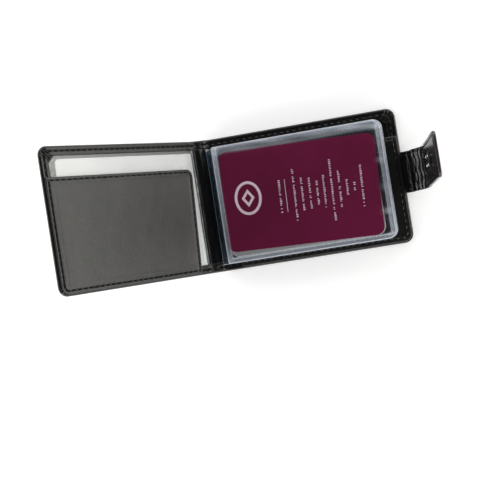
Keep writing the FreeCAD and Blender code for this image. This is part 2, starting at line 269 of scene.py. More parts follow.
def slab(name, xs, ys, outline, ztop, zbot, mat, bend, cut=(False, False), tone=None):
    """A closed sheet over a grid. ztop and zbot are functions of X, Y and the inset; cut sides (low x, high x) stay square."""
    X, Y = np.meshgrid(xs, ys, indexing="ij")
    X, Y, S = outline.place(X, Y, *cut)
    nu, nv = X.shape
    zt, zb = ztop(X, Y, S), zbot(X, Y, S)
    top = np.stack([X, Y, zt], -1).reshape(-1, 3)
    bot = np.stack([X, Y, zb], -1).reshape(-1, 3)
    rim = np.zeros((nu, nv), bool)
    rim[:, 0] = rim[:, -1] = True
    if not cut[0]:
        rim[0, :] = True
    if not cut[1]:
        rim[-1, :] = True
    closed = (rim & (np.abs(zt - zb) < 1e-6)).ravel()
    ids = np.arange(nu * nv)
    own = ~closed
    bid = ids.copy()
    bid[own] = nu * nv + np.arange(own.sum())
    P = np.concatenate([top, bot[own]])
    q = quads(nu, nv)
    fb = bid[quads(nu, nv, flip=True)]
    faces = [q, fb]
    loop = np.concatenate([ids.reshape(nu, nv)[:, 0], ids.reshape(nu, nv)[-1, 1:], ids.reshape(nu, nv)[-2::-1, -1], ids.reshape(nu, nv)[0, -2:0:-1]])
    a, b = loop, np.roll(loop, -1)
    wall = np.stack([a, bid[a], bid[b], b], 1)
    need = own[a] & own[b]
    faces.append(wall[need])
    one = own[a] ^ own[b]
    if one.any():
        tri = []
        for u, v in zip(a[one], b[one]):
            tri.append((u, bid[u], v) if own[u] else (u, bid[v], v))
        faces.append(np.array(tri))
    tn = None
    if tone is not None:
        tn = tone(X, Y, S).ravel()
        tn = np.concatenate([tn, tn[own]])
    return make(name, P, faces, mat, bend, tone=tn)


def thread(name, runs, zs, mat, bend, r=0.26, length=ST_L, up=1, keep=lambda x: True, twist=True):
    """Separate rounded stitches. runs: (x, y, angle, z) of each stitch's middle; each end dips into its needle hole."""
    nu, nv = 11, 8
    u = np.linspace(-0.5, 0.5, nu)
    P, F, T, n = [], [], [], 0
    rng = np.random.default_rng(7)
    for (x, y, ang, z) in runs:
        if not keep(x):
            continue
        L = length * rng.uniform(0.93, 1.05)
        rr = r * rng.uniform(0.93, 1.06)
        da = rng.normal(0, 0.03)
        c, s = math.cos(ang + da), math.sin(ang + da)
        ring = []
        for k in u:
            w = (1 - (2 * abs(k)) ** 6) ** 0.5 * 0.75 + 0.25
            if abs(abs(k) - 0.5) < 1e-9:
                w = 0.25
            drop = (2 * abs(k)) ** 3 * 0.42
            for j in range(nv):
                th = 2 * math.pi * j / nv
                tw = 1 + (0.1 * math.sin(2 * th + k * 16) if twist else 0)
                a, b = rr * w * tw * math.cos(th), rr * w * tw * math.sin(th)
                ring.append((x + k * L * c - a * s, y + k * L * s + a * c, z + up * (b * 0.85 - drop)))
        ring.append((x - (0.5 * L + 0.03) * c, y - (0.5 * L + 0.03) * s, z - up * 0.45))
        ring.append((x + (0.5 * L + 0.03) * c, y + (0.5 * L + 0.03) * s, z - up * 0.45))
        P += ring
        for i in range(nu - 1):
            for j in range(nv):
                j2 = (j + 1) % nv
                q = (n + i * nv + j, n + i * nv + j2, n + (i + 1) * nv + j2, n + (i + 1) * nv + j)
                F.append(q if up > 0 else q[::-1])
        e = n + nu * nv
        for j in range(nv):
            j2 = (j + 1) % nv
            t1, t2 = (e, n + j2, n + j), (e + 1, n + (nu - 1) * nv + j, n + (nu - 1) * nv + j2)
            T.append(t1 if up > 0 else t1[::-1])
            T.append(t2 if up > 0 else t2[::-1])
        n += len(ring)
    return make(name, P, [np.array(F), np.array(T)], mat, bend)


def stitches_on(outline, s0, pitch, sel=None, zf=None, phase=0.5):
    """Stitch middles along an outline at an inset. Returns the stitches and the real pitch."""
    t, p = outline.path(s0)
    n = max(1, round(t[-1] / pitch))
    step = t[-1] / n
    out = []
    for i in range(n):
        tt = (i + phase) * step
        x, y = np.interp(tt, t, p[:, 0]), np.interp(tt, t, p[:, 1])
        x1, y1 = np.interp(tt + 0.5, t, p[:, 0]), np.interp(tt + 0.5, t, p[:, 1])
        x2, y2 = np.interp(tt - 0.5, t, p[:, 0]), np.interp(tt - 0.5, t, p[:, 1])
        if sel is None or sel(x, y):
            out.append((float(x), float(y), math.atan2(y1 - y2, x1 - x2), 0 if zf is None else zf(x, y)))
    return out, step


# ------------------------------------------------------------------ materials
def nodes_of(name):
    m = bpy.data.materials.new(name)
    m.use_nodes = True
    nt = m.node_tree
    nt.nodes.clear()
    out = nt.nodes.new("ShaderNodeOutputMaterial")
    return m, nt, out


def N(nt, kind, **kw):
    n = nt.nodes.new(kind)
    for k, v in kw.items():
        if k in n.inputs:
            n.inputs[k].default_value = v
        else:
            setattr(n, k, v)
    return n


def L(nt, a, b):
    nt.links.new(a, b)


def flat_coord(nt, scale=(1, 1, 1)):
    a = N(nt, "ShaderNodeAttribute", attribute_name="flat")
    mp = N(nt, "ShaderNodeMapping")
    mp.inputs["Scale"].default_value = scale
    L(nt, a.outputs["Vector"], mp.inputs["Vector"])
    return mp.outputs["Vector"]


def math_node(nt, op, a, b=None, clamp=False):
    n = N(nt, "ShaderNodeMath", operation=op)
    n.use_clamp = clamp
    for i, v in enumerate((a, b)):
        if v is None:
            continue
        if isinstance(v, (int, float)):
            n.inputs[i].default_value = v
        else:
            L(nt, v, n.inputs[i])
    return n.outputs[0]


def ramp(nt, fac, stops):
    n = N(nt, "ShaderNodeValToRGB")
    cr = n.color_ramp
    while len(cr.elements) < len(stops):
        cr.elements.new(0.5)
    for e, (p, c) in zip(cr.elements, stops):
        e.position = p
        e.color = c if len(c) == 4 else (*c, 1)
    L(nt, fac, n.inputs[0])
    return n.outputs[0]


def leather(name, c0, c1, rough, grain=0.55, bump=0.25, coat=0.0, creases=0.0, rough_var=0.08, edge=None, spec=0.5):
    """Fine pebble grain over a softer unevenness, with slow colour variation and worn edges from the tone attribute."""
    m, nt, out = nodes_of(name)
    b = N(nt, "ShaderNodeBsdfPrincipled")
    co = flat_coord(nt)
    slow = N(nt, "ShaderNodeTexNoise", Scale=0.09, Detail=4.0, Roughness=0.6)
    L(nt, co, slow.inputs["Vector"])
    col = ramp(nt, slow.outputs["Fac"], [(0.32, c0), (0.68, c1)])
    tone = N(nt, "ShaderNodeAttribute", attribute_name="tone")
    mix = N(nt, "ShaderNodeMix", data_type="RGBA")
    L(nt, math_node(nt, "MULTIPLY", tone.outputs["Fac"], 1.0, clamp=True), mix.inputs["Factor"])
    L(nt, col, mix.inputs[6])
    mix.inputs[7].default_value = (*(edge or [min(1, v * 2.2 + 0.004) for v in c1]), 1)
    L(nt, mix.outputs[2], b.inputs["Base Color"])
    vor = N(nt, "ShaderNodeTexVoronoi", feature="SMOOTH_F1", Scale=1.0 / grain, Smoothness=0.6)
    warp = N(nt, "ShaderNodeTexNoise", Scale=1.3, Detail=2.0)
    L(nt, co, warp.inputs["Vector"])
    add = N(nt, "ShaderNodeMixRGB", blend_type="ADD", Fac=0.45)
    L(nt, co, add.inputs[1]); L(nt, warp.outputs["Color"], add.inputs[2])
    L(nt, add.outputs[0], vor.inputs["Vector"])
    fine = N(nt, "ShaderNodeTexNoise", Scale=5.0, Detail=5.0, Roughness=0.65)
    L(nt, co, fine.inputs["Vector"])
    mid = N(nt, "ShaderNodeTexNoise", Scale=0.45, Detail=3.0)
    L(nt, co, mid.inputs["Vector"])
    h = math_node(nt, "ADD", math_node(nt, "MULTIPLY", vor.outputs["Distance"], 0.8),
                  math_node(nt, "MULTIPLY", fine.outputs["Fac"], 0.35))
    h = math_node(nt, "ADD", h, math_node(nt, "MULTIPLY", mid.outputs["Fac"], 1.1))
    if creases:
        st = flat_coord(nt, (1.3, 0.16, 1.0))
        cr = N(nt, "ShaderNodeTexNoise", Scale=1.0, Detail=3.0, Roughness=0.55, Distortion=0.6)
        L(nt, st, cr.inputs["Vector"])
        h = math_node(nt, "ADD", h, math_node(nt, "MULTIPLY", cr.outputs["Fac"], creases))
    bp = N(nt, "ShaderNodeBump", Strength=bump, Distance=0.0003)
    L(nt, h, bp.inputs["Height"])
    L(nt, bp.outputs["Normal"], b.inputs["Normal"])
    rr = N(nt, "ShaderNodeMapRange")
    rr.inputs["To Min"].default_value = rough - rough_var
    rr.inputs["To Max"].default_value = rough + rough_var
    L(nt, mid.outputs["Fac"], rr.inputs["Value"])
    L(nt, rr.outputs[0], b.inputs["Roughness"])
    b.inputs["IOR"].default_value = 1.5
    b.inputs["Specular IOR Level"].default_value = spec
    if coat:
        b.inputs["Coat Weight"].default_value = coat
        b.inputs["Coat Roughness"].default_value = 0.12
    L(nt, b.outputs[0], out.inputs[0])
    return m


def thread_mat(name, c):
    m, nt, out = nodes_of(name)
    b = N(nt, "ShaderNodeBsdfPrincipled", Roughness=0.8)
    b.inputs["Specular IOR Level"].default_value = 0.12
    co = flat_coord(nt)
    w = N(nt, "ShaderNodeTexWave", Scale=2.2, Distortion=1.5, Detail=2.0)
    L(nt, co, w.inputs["Vector"])
    L(nt, ramp(nt, w.outputs["Fac"], [(0.0, c), (1.0, [v * 1.9 + 0.003 for v in c])]), b.inputs["Base Color"])
    bp = N(nt, "ShaderNodeBump", Strength=0.5, Distance=0.0001)
    L(nt, w.outputs["Fac"], bp.inputs["Height"]); L(nt, bp.outputs[0], b.inputs["Normal"])
    L(nt, b.outputs[0], out.inputs[0])
    return m


def vinyl(name, tint, haze, rim, gain=1.0, rough=0.07, wave=0.5, hazecol=(0.78, 0.82, 0.9)):
    """Clear soft vinyl: see-through, with a surface gloss, a little haze, and edges that carry more light (tone)."""
    m, nt, out = nodes_of(name)
    tr = N(nt, "ShaderNodeBsdfTransparent")
    tr.inputs["Color"].default_value = (*tint, 1)
    df = N(nt, "ShaderNodeBsdfPrincipled", Roughness=0.35)
    df.inputs["Base Color"].default_value = (*hazecol, 1)
    gl = N(nt, "ShaderNodeBsdfGlossy", Roughness=rough)
    gl.inputs["Color"].default_value = (1, 1, 1, 1)
    co = flat_coord(nt, (0.35, 0.35, 0.35))
    n1 = N(nt, "ShaderNodeTexNoise", Scale=1.0, Detail=4.0, Roughness=0.55, Distortion=0.8)
    L(nt, co, n1.inputs["Vector"])
    bp = N(nt, "ShaderNodeBump", Strength=wave, Distance=0.00022)
    L(nt, n1.outputs["Fac"], bp.inputs["Height"])
    L(nt, bp.outputs[0], gl.inputs["Normal"])
    tone = N(nt, "ShaderNodeAttribute", attribute_name="tone")
    n2 = N(nt, "ShaderNodeTexNoise", Scale=2.6, Detail=3.0, Roughness=0.6)
    L(nt, co, n2.inputs["Vector"])
    hz = math_node(nt, "ADD", math_node(nt, "MULTIPLY", tone.outputs["Fac"], rim),
                   math_node(nt, "MULTIPLY", n2.outputs["Fac"], haze * 2), clamp=True)
    m1 = N(nt, "ShaderNodeMixShader")
    L(nt, hz, m1.inputs[0]); L(nt, tr.outputs[0], m1.inputs[1]); L(nt, df.outputs[0], m1.inputs[2])
    # the same reflectance from both sides of the film, so light still reaches what it covers
    lw = N(nt, "ShaderNodeLayerWeight", Blend=0.5)
    f5 = math_node(nt, "POWER", lw.outputs["Facing"], 5.0)
    refl = math_node(nt, "ADD", math_node(nt, "MULTIPLY", f5, 0.85), 0.045 * gain, clamp=True)
    m2 = N(nt, "ShaderNodeMixShader")
    L(nt, refl, m2.inputs[0])
    L(nt, m1.outputs[0], m2.inputs[1]); L(nt, gl.outputs[0], m2.inputs[2])
    L(nt, m2.outputs[0], out.inputs[0])
    return m


def card_mat(name, c0, c1, rough=0.5, spec=0.5):
    m, nt, out = nodes_of(name)
    b = N(nt, "ShaderNodeBsdfPrincipled", Roughness=rough)
    b.inputs["Specular IOR Level"].default_value = spec
    co = flat_coord(nt)
    n1 = N(nt, "ShaderNodeTexNoise", Scale=0.05, Detail=3.0)
    L(nt, co, n1.inputs["Vector"])
    L(nt, ramp(nt, n1.outputs["Fac"], [(0.3, c0), (0.7, c1)]), b.inputs["Base Color"])
    n2 = N(nt, "ShaderNodeTexNoise", Scale=7.0, Detail=4.0)
    L(nt, co, n2.inputs["Vector"])
    bp = N(nt, "ShaderNodeBump", Strength=0.12, Distance=0.0001)
    L(nt, n2.outputs["Fac"], bp.inputs["Height"]); L(nt, bp.outputs[0], b.inputs["Normal"])
    L(nt, b.outputs[0], out.inputs[0])
    return m


def metal_mat(name, c, rough):
    m, nt, out = nodes_of(name)
    b = N(nt, "ShaderNodeBsdfPrincipled", Metallic=1.0, Roughness=rough)
    co = flat_coord(nt)
    n1 = N(nt, "ShaderNodeTexNoise", Scale=3.0, Detail=5.0)
    L(nt, co, n1.inputs["Vector"])
    L(nt, ramp(nt, n1.outputs["Fac"], [(0.3, [v * 0.86 for v in c]), (0.7, c)]), b.inputs["Base Color"])
    rr = N(nt, "ShaderNodeMapRange")
    rr.inputs["To Min"].default_value = rough - 0.06
    rr.inputs["To Max"].default_value = rough + 0.1
    L(nt, n1.outputs["Fac"], rr.inputs["Value"]); L(nt, rr.outputs[0], b.inputs["Roughness"])
    L(nt, b.outputs[0], out.inputs[0])
    return m


M_cover = leather("cover_leather", (0.0020, 0.0019, 0.0016), (0.0036, 0.0034, 0.0028), 0.32, grain=0.42, bump=0.2, spec=0.42, edge=(0.012, 0.005, 0.0045))
M_pocket = leather("pocket_leather", (0.0038, 0.0038, 0.0032), (0.0070, 0.0068, 0.0058), 0.38, grain=0.36, bump=0.2)
M_lining = leather("lining_leather", (0.0018, 0.0018, 0.0019), (0.0036, 0.0037, 0.0040), 0.24, grain=0.5, bump=0.16, creases=0.8)
M_strap = leather("strap_leather", (0.0022, 0.0021, 0.0020), (0.0046, 0.0044, 0.0041), 0.22, grain=0.5, bump=0.13, creases=0.9, edge=(0.034, 0.021, 0.024))
M_thread = thread_mat("thread", (0.0034, 0.0033, 0.0030))
M_vinyl = vinyl("clear_vinyl", (0.965, 0.972, 0.98), 0.0025, 0.95, gain=1.1)
M_hinge = vinyl("hinge_vinyl", (0.80, 0.86, 0.92), 0.022, 0.5, gain=1.4, hazecol=(0.40, 0.52, 0.64))
M_window = vinyl("window_vinyl", (0.96, 0.965, 0.965), 0.008, 0.7, gain=0.65, rough=0.2, wave=0.06)
M_board = card_mat("board", (0.11, 0.11, 0.11), (0.135, 0.135, 0.132), 0.7)
M_paper = card_mat("paper", (0.62, 0.62, 0.62), (0.68, 0.68, 0.675), 0.6)
M_card1 = card_mat("printed_card", (0.130, 0.0024, 0.034), (0.158, 0.0040, 0.045), 0.5, spec=0.16)
M_print = card_mat("print", (0.86, 0.66, 0.74), (0.93, 0.75, 0.82), 0.45)
M_plain = card_mat("plain_card", (0.68, 0.67, 0.65), (0.76, 0.75, 0.73), 0.55)
M_metal = metal_mat("snap_metal", (0.74, 0.73, 0.71), 0.22)
M_black_metal = metal_mat("snap_metal_black", (0.020, 0.019, 0.018), 0.34)

# ------------------------------------------------------------------ covers: turned-edge leather
INS = [0, 0.04, 0.12, 0.24, 0.4, 0.6, 0.85, 1.15, 1.5, 1.8, 2.05, 2.25, 2.42, 2.6, 2.78, 2.95, 3.15, 3.45, 3.8, 4.2, 4.55, 4.8, 4.93, 4.985, 5.0, 5.04, 5.3]
full = Outline(FRONT_X, -H2, FREE_X, H2, (CORNER_R,) * 4)
T_path, P_path = full.path(STITCH_IN)
N_ST = round(T_path[-1] / PITCH)
STEP = T_path[-1] / N_ST


def pucker(X, Y, S):
    """0 between needle holes, 1 at a hole, for points near the stitch line."""
    m = np.abs(S - STITCH_IN) < 2.2
    t = nearest_t(T_path, P_path, X, Y, m)
    d = np.abs((t / STEP + 0.5) % 1 - 0.5) * STEP
    return np.where(m, np.exp(-(d / 0.55) ** 2), 0), m


def pleats(X, Y):
    """Folds of the turned-in leather, fanning from the corner's middle."""
    out = np.zeros(X.shape)
    for cx, cy, sx, sy, k in ((FRONT_X, H2, -1, 1, 0), (FRONT_X, -H2, -1, -1, 1), (FREE_X, H2, 1, 1, 2), (FREE_X, -H2, 1, -1, 3)):
        px, py = cx - sx * 5.6, cy - sy * 5.6
        a, b = (X - px) * sx, (Y - py) * sy
        m = (a > 0) & (b > 0)
        ang = np.degrees(np.arctan2(b, a))
        rr = np.hypot(a, b)
        w = np.zeros(X.shape)
        for j, c in enumerate((17, 34, 50, 68)):
            c = c + (3.1 * ((k * 7 + j * 5) % 3) - 3)
            w = w + np.exp(-((ang - c) / 3.6) ** 2)
            w = w - 0.7 * np.exp(-((ang - c - 7.5) / 4.2) ** 2)
        out = out + np.where(m, w * smooth((rr - 0.8) / 1.6) * (1 - smooth((rr - 4.6) / 0.9)), 0)
    return out


prof_t = [(0, 1.15), (0.04, 1.38), (0.12, 1.6), (0.24, 1.79), (0.4, 1.96), (0.6, 2.1), (0.85, 2.2), (1.15, 2.26), (1.5, 2.28), (1.8, 2.25), (2.05, 2.19),
          (2.25, 2.1), (2.6, 1.98), (2.95, 2.1), (3.15, 2.19), (3.45, 2.26), (3.8, 2.3), (4.2, 2.3), (4.55, 2.28), (4.8, 2.22), (4.93, 2.13), (4.985, 2.0), (5.0, 1.82), (5.04, 0.6), (99, 0.6)]
prof_b = [(0, 1.15), (0.04, 0.92), (0.12, 0.7), (0.24, 0.51), (0.4, 0.34), (0.6, 0.2), (0.85, 0.1), (1.15, 0.04), (1.5, 0.02), (1.8, 0.05), (2.05, 0.11),
          (2.25, 0.2), (2.6, 0.31), (2.95, 0.2), (3.15, 0.11), (3.45, 0.05), (3.8, 0.02), (99, 0.0)]


def prof(s, table):
    a = np.array(table)
    return np.interp(s, a[:, 0], a[:, 1])


def fold_wrinkle(X, Y):
    """Compression wrinkles of the inside leather across the two folds."""
    g = np.exp(-((X - FOLD_X + 2) / 3.6) ** 2) + np.exp(-((X - FOLD2_X - 1) / 3.6) ** 2)
    return g * (0.6 * np.sin(X * 2.9 + wob(X, Y, 9, 31) * 1.8) + 0.5 * wob(X * 1.7, Y * 0.5, 3.2, 32))


def cover_top(X, Y, S):
    h, m = pucker(X, Y, S)
    band = np.exp(-((S - STITCH_IN) / 0.5) ** 2)
    z = prof(S, prof_t)
    vis = smooth(S / 0.7) * (1 - smooth((S - 4.9) / 0.15))
    z = z - 0.16 * band * h + 0.05 * (1 - h) * np.exp(-((S - 1.7) / 0.5) ** 2) * m
    z = z + 0.045 * wob(X, Y, 17, 11) * vis + 0.02 * wob(X, Y, 5, 12) * vis
    z = z - 0.75 * pleats(X, Y) * vis
    z = z + 0.13 * fold_wrinkle(X, Y) * vis
    # the edge stands a little proud where the strap comes out
    z = z + 0.14 * np.exp(-((X - FREE_X) / 3.2) ** 2) * (smooth((Y - STRAP_Y + 13.0) / 2.5) - smooth((Y - STRAP_Y - 10.5) / 2.5)) * vis
    return z


def cover_bot(X, Y, S):
    h, m = pucker(X, Y, S)
    band = np.exp(-((S - STITCH_IN) / 0.5) ** 2)
    z = prof(S, prof_b) + 0.14 * band * h
    deep = smooth((S - 3.0) / 3.0)
    return z + deep * 0.05 * (1 + wob(X, Y, 22, 13))


def cover_tone(X, Y, S):
    return 0.9 * np.exp(-(S / 0.45) ** 2)


def cover_xs(lo, hi, cut_lo, cut_hi):
    return coords(lo, hi, 0.62, INS if not cut_lo else (0.0,), INS if not cut_hi else (0.0,))


ys_cover = coords(-H2, H2, 0.75, INS, INS)
xs_b = cover_xs(MID_X, FREE_X, True, False)
o = slab("cover_leather_back", xs_b, ys_cover, Outline(MID_X - 50, -H2, FREE_X, H2, (0, CORNER_R, CORNER_R, 0)),
         cover_top, cover_bot, M_cover, bend_cover, cut=(True, False), tone=cover_tone)
blend_a(o)
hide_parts("back_outer_leather", "spine_outer_leather", "back_board", "spine_stiffener", "strap_anchor")
xs_f = cover_xs(FRONT_X, MID_X, False, True)
o = slab("cover_leather_front", xs_f, ys_cover, Outline(FRONT_X, -H2, MID_X + 50, H2, (CORNER_R, 0, 0, CORNER_R)),
         cover_top, cover_bot, M_cover, bend_cover, cut=(False, True), tone=cover_tone)
blend_b(o)
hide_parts("front_outer_leather", "front_board")


def corner_pleats(name, cx, cy, sx, sy, body, seed):
    """The gathered leather of a turned-in corner: a fan of small folds that cuts the corner off inside the border."""
    t, v = np.linspace(-3.7, 3.7, 97), np.linspace(8.0, 13.4, 40)
    T, V = np.meshgrid(t, v, indexing="ij")
    wave_ = np.cos(2 * np.pi * (T + 0.12 * np.sin(1.9 * T + seed)) / 1.5)
    V2 = 8.0 + (V - 8.0) / 5.4 * (5.4 + 0.28 * wave_ - 0.05 * T ** 2 * 0.3)
    k = 0.80 + 0.20 * (V - 8.0) / 5.4
    a, b = (V2 + T * k) / 2, (V2 - T * k) / 2
    side = smooth((3.7 - np.abs(T)) / 0.7)
    body_ = 0.34 * smooth((V - 8.0) / 0.7) + 0.30 * wave_ * smooth((V - 8.0) / 1.2) + 0.03 * wob(T, V, 1.6, seed)
    z = 2.02 + body_ * side * (1 - 0.55 * smooth((V - 12.5) / 0.9))
    X, Y = cx - sx * a, cy - sy * b
    Pa = np.stack([X, Y, z], -1).reshape(-1, 3)
    Pb = np.stack([X, Y, np.full(X.shape, 1.80)], -1).reshape(-1, 3)
    nu, nv = X.shape
    m_ = nu * nv
    ids = np.arange(m_).reshape(nu, nv)
    loop = np.concatenate([ids[:, 0], ids[-1, 1:], ids[-2::-1, -1], ids[0, -2:0:-1]])
    nxt = np.roll(loop, -1)
    wall = np.stack([loop, loop + m_, nxt + m_, nxt], 1)
    up_is = np.cross(Pa[nv] - Pa[0], Pa[1] - Pa[0])[2] > 0
    q1, q2 = quads(nu, nv, flip=not up_is), quads(nu, nv, off=m_, flip=up_is)
    if not up_is:
        wall = wall[:, ::-1]
    o = make(name, np.concatenate([Pa, Pb]), [q1, q2, wall], M_cover, bend_cover)
    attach(o, body)
    return o


pl_f = corner_pleats("corner_pleats_front", FRONT_X, H2, -1, 1, "front_cover", 3)
pl_b = corner_pleats("corner_pleats_back", FREE_X, H2, 1, 1, "back_cover", 8)

st, _ = stitches_on(full, STITCH_IN, PITCH)
def z_in(x, y): return 2.06
st_in = [(x, y, a, 2.13) for x, y, a, _ in st]
st_out = [(x, y, a, 0.30) for x, y, a, _ in st]
back_in = [s for s in st_in if s[0] > MID_X]
front_in = [s for s in st_in if s[0] <= MID_X and not (s[0] < FOLD2_X - 8.5 and s[1] < 20.5)]


def strand(name, runs_in, runs_out, blender, node):
    a = thread(name + "_in", runs_in, None, M_thread, bend_cover, r=0.43, length=2.9)
    b = thread(name + "_out", runs_out, None, M_thread, bend_cover, r=0.28, length=2.6, up=-1)
    for o in (a, b):
        blender(o)
        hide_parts(node)


strand("back_cover_thread", back_in, [s for s in st_out if s[0] > MID_X], blend_a, "back_edge_stitching")
strand("front_cover_thread", front_in, [s for s in st_out if s[0] <= MID_X], blend_b, "front_edge_stitching")

# ------------------------------------------------------------------ linings
IN_EDGE = [0, 0.05, 0.15, 0.35, 0.7]


def lining_z(X, Y, S):
    e = smooth(S / 0.25)
    z = 1.80 + 0.3 * e
    sp = np.exp(-((X - MID_X - 0.5) / 5.5) ** 2)
    z = z + 0.05 * wob(X, Y, 12, 41) * e
    z = z + sp * e * (0.10 * wob(X * 1.2, Y * 0.35, 4.5, 42) + 0.10 * np.sin(X * 1.35 + 0.7 * wob(X, Y, 16, 43)))
    return z


lo = Outline(MID_X - 30, -H2 + 4.7, FREE_X - 4.8, H2 - 4.7, (0, 0.6, 0.6, 0))
o = slab("inner_lining_back", coords(MID_X, FREE_X - 4.8, 0.8, (0.0,), IN_EDGE), coords(-H2 + 4.7, H2 - 4.7, 0.8, IN_EDGE, IN_EDGE), lo,
         lining_z, lambda X, Y, S: np.where(S <= 0, lining_z(X, Y, S), 1.0 + 0 * X), M_lining, bend_cover, cut=(True, False))
blend_a(o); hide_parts("back_lining", "spine_lining", "insert_tab")
SL = -62.9
lo = Outline(SL, -H2 + 4.7, MID_X + 30, H2 - 4.7, (0, 0, 0, 0))
o = slab("inner_lining_spine", coords(SL, MID_X, 0.5, IN_EDGE, (0.0,)), coords(-H2 + 4.7, H2 - 4.7, 0.8, IN_EDGE, IN_EDGE), lo,
         lining_z, lambda X, Y, S: np.where(S <= 0, lining_z(X, Y, S), 1.0 + 0 * X), M_lining, bend_cover, cut=(False, True))
blend_b(o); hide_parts("spine_lining")

# ------------------------------------------------------------------ front cover: backing board, window card and film
def rect(x0, y0, x1, y1, r=(0, 0, 0, 0)):
    return Outline(x0, y0, x1, y1, r)


bx0, bx1 = FRONT_X + 2.0, FOLD2_X - 0.8
o = slab("window_backing", coords(bx0, bx1, 2.0, IN_EDGE, IN_EDGE), coords(-H2 + 2, H2 - 2, 2.0, IN_EDGE, IN_EDGE), rect(bx0, -H2 + 2, bx1, H2 - 2, (3, 0, 0, 3)),
         lambda X, Y, S: 1.26 + 0.03 * wob(X, Y, 20, 51) * smooth(S), lambda X, Y, S: np.where(S <= 0, 1.26, 0.75) + 0 * X, M_board, bend_cover)
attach(o, "front_cover"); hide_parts("front_board")


def paper_z(X, Y, S):
    return 1.30 + 0.27 * smooth(S / 0.12) + 0.02 * wob(X, Y, 26, 52) * smooth(S / 2)


px0, px1, py0, py1 = FRONT_X + 8.7, FOLD2_X - 1.2, -H2 + 3.0, H2 - 6.6
o = slab("window_card", coords(px0, px1, 1.5, IN_EDGE, IN_EDGE), coords(py0, py1, 1.5, IN_EDGE, IN_EDGE), rect(px0, py0, px1, py1, (1, 1, 1, 2.6)),
         paper_z, lambda X, Y, S: np.where(S <= 0, paper_z(X, Y, S), 1.27 + 0 * X), M_paper, bend_cover)
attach(o, "front_cover"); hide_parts("window_paper")


def film_z(X, Y, S):
    z = 1.68 + 0.03 * wob(X, Y, 40, 53)
    free = np.exp(-((X - (FOLD2_X - 1.0)) / 2.4) ** 2) * (1 - smooth((Y - 17) / 4))
    crink = 0.12 * wob(X * 1.6, Y, 3.0, 55) + 0.07 * wob(X, Y * 1.3, 1.5, 56)
    return z + free * (0.12 + crink * (0.10 + 0.9 * smooth((Y + 8) / 10) * (1 - smooth((Y - 14) / 5))) + 0.22 * np.sin(X * 2.1 + 0.4 * wob(X, Y, 20, 57)) * smooth((-Y - 2) / 14))


wx0, wx1 = FRONT_X + 3.0, FOLD2_X + 0.5
def film_bot(X, Y, S):
    return np.where(S <= 0, film_z(X, Y, S), film_z(X, Y, S) - 0.05 * smooth(S / 0.2))
def film_tone(X, Y, S):
    # painted highlight: two whiter lines of haze along the film's free edge by the fold
    return np.exp(-((X - wx1) / 0.35) ** 2) + 0.25 * np.exp(-((X - wx1 + 1.0) / 0.2) ** 2)
o = slab("window_film_clear", coords(wx0, wx1, 0.5, IN_EDGE, [0, 0.05, 0.15, 0.3, 0.5, 0.75, 1.0, 1.3, 1.6, 2, 2.4, 2.8, 3.2, 3.6, 4, 4.4, 4.8]), coords(-H2 + 3, H2 - 3, 0.6, IN_EDGE, IN_EDGE),
         rect(wx0, -H2 + 3, wx1, H2 - 3, (2, 0, 0, 2)), film_z, film_bot, M_window, bend_cover, tone=film_tone)
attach(o, "front_cover"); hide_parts("window_film")

# ------------------------------------------------------------------ pockets
PT = 21.3
P_INS = [0, 0.03, 0.1, 0.2, 0.32, 0.5, 0.75, 1.0, 1.25, 1.42, 1.6, 1.78, 1.95, 2.15, 2.4, 2.8, 3.2, 3.7, 4.2]


